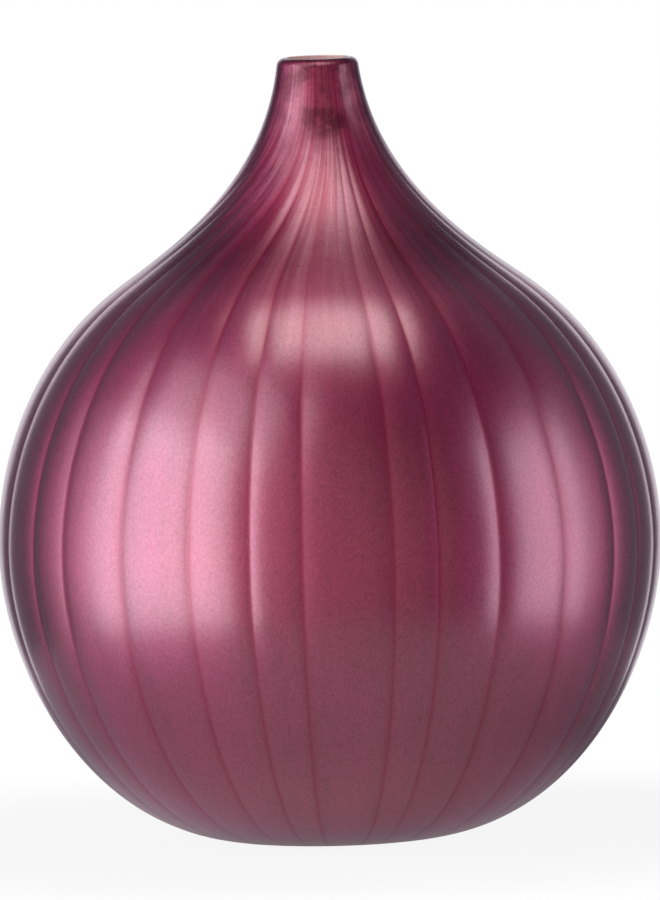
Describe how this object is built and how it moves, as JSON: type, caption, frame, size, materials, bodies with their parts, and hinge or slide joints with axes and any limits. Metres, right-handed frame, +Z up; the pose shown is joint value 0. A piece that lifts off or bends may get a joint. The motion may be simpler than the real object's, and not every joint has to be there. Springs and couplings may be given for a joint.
{
  "type": "onion-shaped bud vase",
  "caption": "Round-bellied vase of ribbed satin glass, drawn up through a hollow cone into a slim open neck, like an onion.",
  "frame": {"origin": "centre of the foot, on the surface that the vase stands on", "axes": "+Z up along the vase's axis, -Y out of the side that the picture shows, +X to that view's right"},
  "size_m": [0.1594, 0.1598, 0.188],
  "materials": {
    "plum_glass": "satin, pearly, opaque plum"
  },
  "bodies": {
    "root": {"vase": "plum_glass"}
  },
  "joints": []
}
